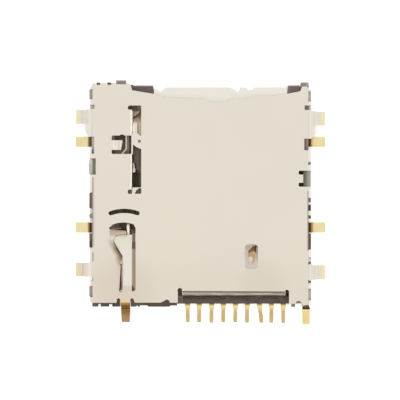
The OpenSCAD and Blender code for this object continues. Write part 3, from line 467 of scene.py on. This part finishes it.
    # painted light below the pierced hole, in the gaps beside the leaf and at the rear opening's ends
    color = paint(
        t, color, dull,
        (-4.12, -3.68, 3.70, 4.15, (170, 157, 142)),
        (-5.30, -4.85, -5.80, -3.70, (190, 164, 130)),
        (-5.30, -4.85, -4.75, -3.70, (250, 216, 180)),
        (-4.50, -4.20, -5.80, -2.50, (190, 170, 140)),
        # painted light between the finger and the slot's side, and on the nub behind the slider
        (-4.40, -4.28, 4.40, 5.30, (230, 210, 195)),
        (-4.75, -3.70, 0.50, 1.00, (190, 175, 155)),
        (-4.10, -3.70, 0.40, 1.00, (255, 240, 215)),
        (6.15, 6.60, 0.95, 2.10, (172, 152, 130)),
        (3.38, 3.70, -3.35, -2.70, (255, 222, 176)),
        (-1.52, -1.14, -5.90, -5.40, (255, 232, 196)),
        (-1.52, -1.14, -6.06, -5.93, (134, 121, 106)),
        (-1.52, -1.14, -6.44, -6.10, (114, 104, 92)),
        (5.36, 5.72, -5.90, -5.50, (255, 236, 205)),
        # painted light beside the pin, at the window's and the arc slot's ends, under the
        # curved-down edge
        (-4.55, -4.12, -2.12, -1.60, (240, 205, 165)),
        (-6.00, -5.62, -1.80, -1.45, (240, 215, 195)),
        (-4.15, -3.85, -0.85, -0.45, (240, 218, 190)),
        (-6.00, -5.70, -0.85, -0.45, (240, 218, 190)),
        (-5.65, -4.95, -3.68, -1.95, (235, 205, 150)))
    # the underside keeps the plain moulded tone
    return t.mix(t.ramp(t.z, 0.07, 0.11), body, color)


def slider_tones(t, color):
    """Brown-black, with painted shade under the front edge of each opening and
    painted light, greyer, on the edges that catch the light."""
    # square window
    color = paint(
        t, color, dull,
        (-5.90, -4.42, 3.90, 4.45, (77, 65, 51)),
        (-5.90, -5.52, 3.80, 4.45, (148, 133, 118)),
        (-4.74, -4.42, 3.20, 4.28, (136, 123, 109)),
        (-5.90, -4.42, 2.90, 3.32, (116, 101, 87)),
        (-5.90, -5.48, 2.90, 3.32, (92, 78, 66)),
        # through the slot
        (-4.40, -3.70, 2.15, 3.42, (106, 95, 84)),
        (-4.38, -4.20, 2.55, 3.80, (88, 76, 61)),
        (-4.40, -3.70, 0.40, 2.08, (72, 58, 46)),
        (-3.93, -3.70, 0.40, 2.30, (118, 104, 94)),
        (-4.80, -3.70, 0.40, 0.96, (228, 206, 178)),
        # below the arc-shaped slot
        (-5.90, -3.90, -0.95, -0.40, (115, 98, 76)),
        # leaf window: painted light at the left, painted shade deepest in the middle
        (-5.95, -3.90, -2.60, -1.20, (86, 71, 58)),
        (-5.95, -5.50, -2.30, -1.20, (168, 147, 134)),
        (-5.50, -5.25, -2.30, -1.20, (132, 113, 101)),
        (-5.60, -5.10, -1.86, -1.64, (210, 188, 160)),
        (-4.60, -4.36, -2.20, -1.84, (196, 172, 150)))
    return color


def gold_plate(name, bright, deep, root=None, bare=None):
    """Thin gold over copper alloy: drawn grain along the strip, deeper colour
    where the flux has stained it, and dark brown at the root, painted shade on the tails and anchors."""
    t = Tree(name)
    cloud = t.noise(t.stretch(2.2, 1.2, 2.2, at=(1.3, 0.2, 0)), 1.0, 3.0, 0.5, 0.3)
    grain = t.noise(t.stretch(34.0, 3.0, 34.0), 1.0, 3.0, 0.6)
    color = t.mix(t.ramp(cloud, 0.35, 0.68, 0.0, 0.8), bright, deep)
    color = t.mix(t.ramp(grain, 0.45, 0.75, 0.0, 0.15), color, deep)
    if root is not None:
        color = root(t, color)
    rough = t.math("ADD", t.ramp(grain, 0.3, 0.7, 0.22, 0.30), t.ramp(cloud, 0.4, 0.8, 0.0, 0.06))
    normal = t.bump(grain, 0.06, 0.000003)
    return t.finish(color, rough, bare(t) if bare else 1.0, normal)


def tail_tones(t, color):
    # solder tail: painted shade at the bar, a painted highlight at the bend, tan further down
    color = t.mix(t.ramp(t.y, -6.66, -6.86), metal(216, 198, 136), color)
    color = t.mix(t.ramp(t.y, -6.60, -6.50), color, metal(150, 112, 44))
    # contact beam: a painted highlight on the nose, then a painted brown reflection, and a painted dark
    # reflection where it goes deeper
    beam = t.ramp(t.y, -5.4, -5.2)
    side = t.math("FRACT", t.math("MULTIPLY_ADD", t.x, 0.90909, 10.51818))
    color = t.mix(beam, color, t.mix(t.ramp(side, 0.44, 0.58), metal(246, 218, 190), metal(220, 186, 152)))
    brown = t.ramp(t.y, -3.52, -3.42)
    color = t.mix(brown, color, metal(200, 164, 114))
    across = t.math("FRACT", t.math("MULTIPLY_ADD", t.x, 0.90909, 10.51818))
    color = t.mix(t.both(brown, t.ramp(across, 0.56, 0.64)), color, metal(214, 192, 152))
    dark = t.both(t.ramp(t.y, -3.20, -3.10), t.ramp(across, 0.34, 0.46))
    return t.mix(dark, color, (0.95, 0.53, 0.25, 1.0))


def nose_side(t):
    """All metal but for the part in front of the nose, left matt for its painted dark reflection."""
    return t.ramp(t.y, -3.20, -3.10, 1.0, 0.08)


def anchor_root_shade(t, color):
    """Painted shade where each strip comes out of the moulding, set apart for each corner."""
    reach = t.math("ABSOLUTE", t.x)
    right = t.ramp(t.x, -0.5, 0.5)
    front = t.ramp(t.y, -0.5, 0.5)
    ahead = steps(t, reach, 0.015, metal(168, 155, 150), (6.955, metal(117, 100, 91)),
                  (7.02, metal(73, 54, 38)), (7.085, metal(60, 41, 22)), (7.147, metal(129, 108, 71)),
                  (7.21, metal(200, 181, 136)))
    ahead_r = steps(t, reach, 0.015, metal(93, 68, 44), (6.955, metal(68, 44, 16)),
                    (7.02, metal(89, 60, 20)), (7.085, metal(149, 113, 64)), (7.147, metal(208, 178, 124)))
    back = steps(t, reach, 0.015, metal(140, 126, 112), (6.955, metal(66, 48, 34)),
                 (7.02, metal(53, 34, 17)), (7.085, metal(60, 32, 14)), (7.147, metal(137, 100, 64)),
                 (7.21, metal(208, 182, 132)))
    back_r = steps(t, reach, 0.015, metal(104, 88, 76), (6.955, metal(58, 40, 26)),
                   (7.02, metal(80, 55, 30)), (7.085, metal(103, 71, 35)), (7.147, metal(176, 143, 88)),
                   (7.21, metal(212, 183, 123)))
    root = t.mix(right, t.mix(front, back, ahead), t.mix(front, back_r, ahead_r))
    end = t.math("MULTIPLY_ADD", t.both(right, front), -0.05, 7.26)
    return t.mix(t.ramp(t.math("SUBTRACT", reach, end), 0.02, -0.02), color, root)


def terminal_root(t, color):
    root = t.mix(t.ramp(t.y, -6.80, -6.58), metal(70, 42, 22), metal(118, 98, 90))
    return t.mix(t.ramp(t.y, -6.90, -6.84), color, root)


def hem_tones(t, color):
    """The folded end of the strip spring, duller than its edge."""
    tone = t.mix(t.ramp(t.y, 2.16, 2.28), metal(212, 202, 190), metal(178, 170, 160))
    return t.mix(t.zone(-4.40, -4.05, 1.85, 2.60, 0.01), color, tone)


def spring_steel(name, base, deep, satin=0.16, extra=None, bare=1.0):
    t = Tree(name)
    draw = t.noise(t.stretch(26.0, 5.0, 26.0), 1.0, 3.0, 0.55)
    cloud = t.noise(t.stretch(1.5, 1.5, 1.5), 1.0, 3.0, 0.5)
    color = t.mix(t.ramp(cloud, 0.35, 0.7), base, deep)
    if extra is not None:
        color = extra(t, color)
    rough = t.ramp(draw, 0.3, 0.7, satin, satin + 0.12)
    return t.finish(color, rough, bare, t.bump(draw, 0.12, 0.000003))


steel = sheet_steel("shell_sheet", metal(229, 222, 209), metal(227, 220, 208),
                    metal(225, 214, 197), shell_tones, 0.33, slot_side)
plate = sheet_steel("plate_sheet", metal(236, 231, 222), metal(233, 228, 219),
                    metal(227, 219, 206), plate_tones, 0.20)
black = moulded("housing_plastic", dull(84, 74, 66), dull(104, 93, 84), 0.38, housing_tones)
slide_black = moulded("slider_plastic", dull(92, 82, 71), dull(104, 93, 81), 0.40, slider_tones)
gold_tail = gold_plate("tail_gold", metal(210, 186, 138), metal(200, 172, 126), tail_tones, nose_side)
gold_anchor = gold_plate("anchor_gold", metal(238, 223, 174), metal(234, 215, 162), anchor_root_shade)
gold_terminal = gold_plate("terminal_gold", metal(238, 219, 158), metal(232, 208, 142), terminal_root)
wire = spring_steel("spring_wire", metal(246, 238, 226), metal(232, 224, 212))
pin_wire = spring_steel("pin_wire", (1.0, 0.91, 0.81, 1), (0.98, 0.88, 0.77, 1), 0.5, None, 0.12)
strip = spring_steel("strip_spring", metal(206, 196, 186), metal(196, 186, 176), 0.30, hem_tones)

FINISH = {
    "shell": steel, "front_plate": plate, "housing": black, "slider": slide_black,
    "latch_spring": strip, "coil_spring": wire, "cam_pin": pin_wire,
    "detect_contact": gold_tail, "detect_terminal": gold_terminal,
}
for name in nodes:
    if name.startswith("contact_"):
        FINISH[name] = gold_tail
    if name.startswith("anchor_"):
        FINISH[name] = gold_anchor

# width of the soft edge on each kind of piece, in millimetres; the shell's and
# the housing's edges lie too close together in places for one
EDGE = {"front_plate": 0.015, "slider": 0.018, "latch_spring": 0.010}

for name, o in nodes.items():
    o.data.materials.clear()
    o.data.materials.append(FINISH[name])
    if name in ("coil_spring",):
        continue
    weld = o.modifiers.new("weld", "WELD")
    weld.merge_threshold = 1e-7
    if name not in ("cam_pin", "shell", "housing"):
        bevel = o.modifiers.new("edges", "BEVEL")
        bevel.limit_method = "ANGLE"
        bevel.angle_limit = math.radians(38)
        bevel.width = EDGE.get(name, 0.014) * MM
        bevel.segments = 2
        bevel.use_clamp_overlap = True
        bevel.harden_normals = False


# ------------------------------------------------------------- coil spring

def coil_mesh():
    """Round-wire compression spring: close end coils, open coils between."""
    radius, wire_r, turns = 0.31, 0.06, 19
    x0, z0, y0, y1 = -6.17, 0.85, -6.035, 2.935
    per, around = 28, 10
    count = turns * per
    e = 1.5 / turns
    verts, faces = [], []
    for i in range(count + 1):
        u = i / count
        if u < e:
            w = u * u / (2 * e) / (1 - e)
        elif u > 1 - e:
            w = 1 - (1 - u) ** 2 / (2 * e) / (1 - e)
        else:
            w = (u - e / 2) / (1 - e)
        a = 2 * math.pi * i / per
        y = y0 + (y1 - y0) * w
        for k in range(around):
            b = 2 * math.pi * k / around
            r = radius + wire_r * math.cos(b)
            verts.append(((x0 + r * math.cos(a)) * MM, (y + wire_r * math.sin(b)) * MM,
                          (z0 + r * math.sin(a)) * MM))
    for i in range(count):
        for k in range(around):
            a, b = i * around + k, i * around + (k + 1) % around
            faces.append((a, b, b + around, a + around))
    faces.append(tuple(range(around - 1, -1, -1)))
    faces.append(tuple(count * around + k for k in range(around)))
    me = bpy.data.meshes.new("coil_spring_wire")
    me.from_pydata(verts, [], faces)
    me.validate()
    me.shade_smooth()
    return me


coil = bpy.data.objects.new("coil_spring_wire", coil_mesh())
bpy.context.scene.collection.objects.link(coil)
coil.data.materials.append(wire)
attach(coil, "base")
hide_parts("coil_spring")
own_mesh(coil)


# ------------------------------------------------------ floor, light, camera

def floor_mesh(size, z):
    me = bpy.data.meshes.new("floor")
    s = size / 2
    me.from_pydata([(-s, -s, z), (s, -s, z), (s, s, z), (-s, s, z)], [], [(0, 1, 2, 3)])
    o = bpy.data.objects.new("floor", me)
    bpy.context.scene.collection.objects.link(o)
    t = Tree("floor_paper")
    tone = t.noise(t.stretch(0.05, 0.05, 0.05), 1.0, 3.0, 0.5)
    color = t.mix(t.ramp(tone, 0.3, 0.7), (0.93, 0.93, 0.925, 1), (0.91, 0.91, 0.905, 1))
    # lit evenly from below as on a light table, so that it keeps no shadow
    t.bsdf.inputs["Emission Color"].default_value = (1.0, 1.0, 1.0, 1.0)
    t.bsdf.inputs["Emission Strength"].default_value = 0.45
    o.data.materials.append(t.finish(color, 0.7, 0.0, None, 0.2))
    return o


floor_mesh(1.2, -0.00001)


def softbox(name, at, look, size, power, color=(1, 1, 1)):
    light = bpy.data.lights.new(name, "AREA")
    light.shape = "RECTANGLE"
    light.size, light.size_y = size
    light.energy = power
    light.color = color
    o = bpy.data.objects.new(name, light)
    o.location = at
    o.rotation_mode = "QUATERNION"
    o.rotation_quaternion = (Vector(look) - Vector(at)).to_track_quat("-Z", "Y")
    bpy.context.scene.collection.objects.link(o)
    return o


softbox("left", (-0.30, 0.03, 0.10), (0, 0, 0), (0.20, 0.14), 0.10, (1, 0.99, 0.975))
softbox("right", (0.30, 0.0, 0.10), (0, 0, 0), (0.20, 0.14), 0.14, (1, 1, 1))
softbox("rear", (0.0, -0.30, 0.09), (0, 0, 0), (0.24, 0.12), 0.04, (1, 1, 1))

world = bpy.data.worlds.new("studio")
bpy.context.scene.world = world
world.use_nodes = True
world.node_tree.nodes["Background"].inputs[0].default_value = (1.0, 0.992, 0.98, 1)
world.node_tree.nodes["Background"].inputs[1].default_value = STUDIO

bpy.context.scene.view_settings.view_transform = "Standard"
bpy.context.scene.view_settings.look = "None"
bpy.context.scene.view_settings.exposure = 0.0
bpy.context.scene.view_settings.gamma = 1.0

# The photograph looks straight down: 15.6 pixels to the millimetre, with the
# middle of the part at pixel (200.5, 202.75) of the 400 by 400 frame.
WIDE = 400 / 15.6 * MM
cam_data = bpy.data.cameras.new("camera")
cam_data.sensor_fit = "HORIZONTAL"
cam_data.sensor_width = 36.0
cam_data.lens = 300.0
cam = bpy.data.objects.new("camera", cam_data)
bpy.context.scene.collection.objects.link(cam)
distance = WIDE * cam_data.lens / cam_data.sensor_width
cam.location = ((200 - 200.5) / 15.6 * MM, (202.75 - 200) / 15.6 * MM, 0.0009 + distance)
cam.rotation_euler = (0, 0, 0)
cam_data.clip_start = 0.001
cam_data.clip_end = 10.0
bpy.context.scene.camera = cam
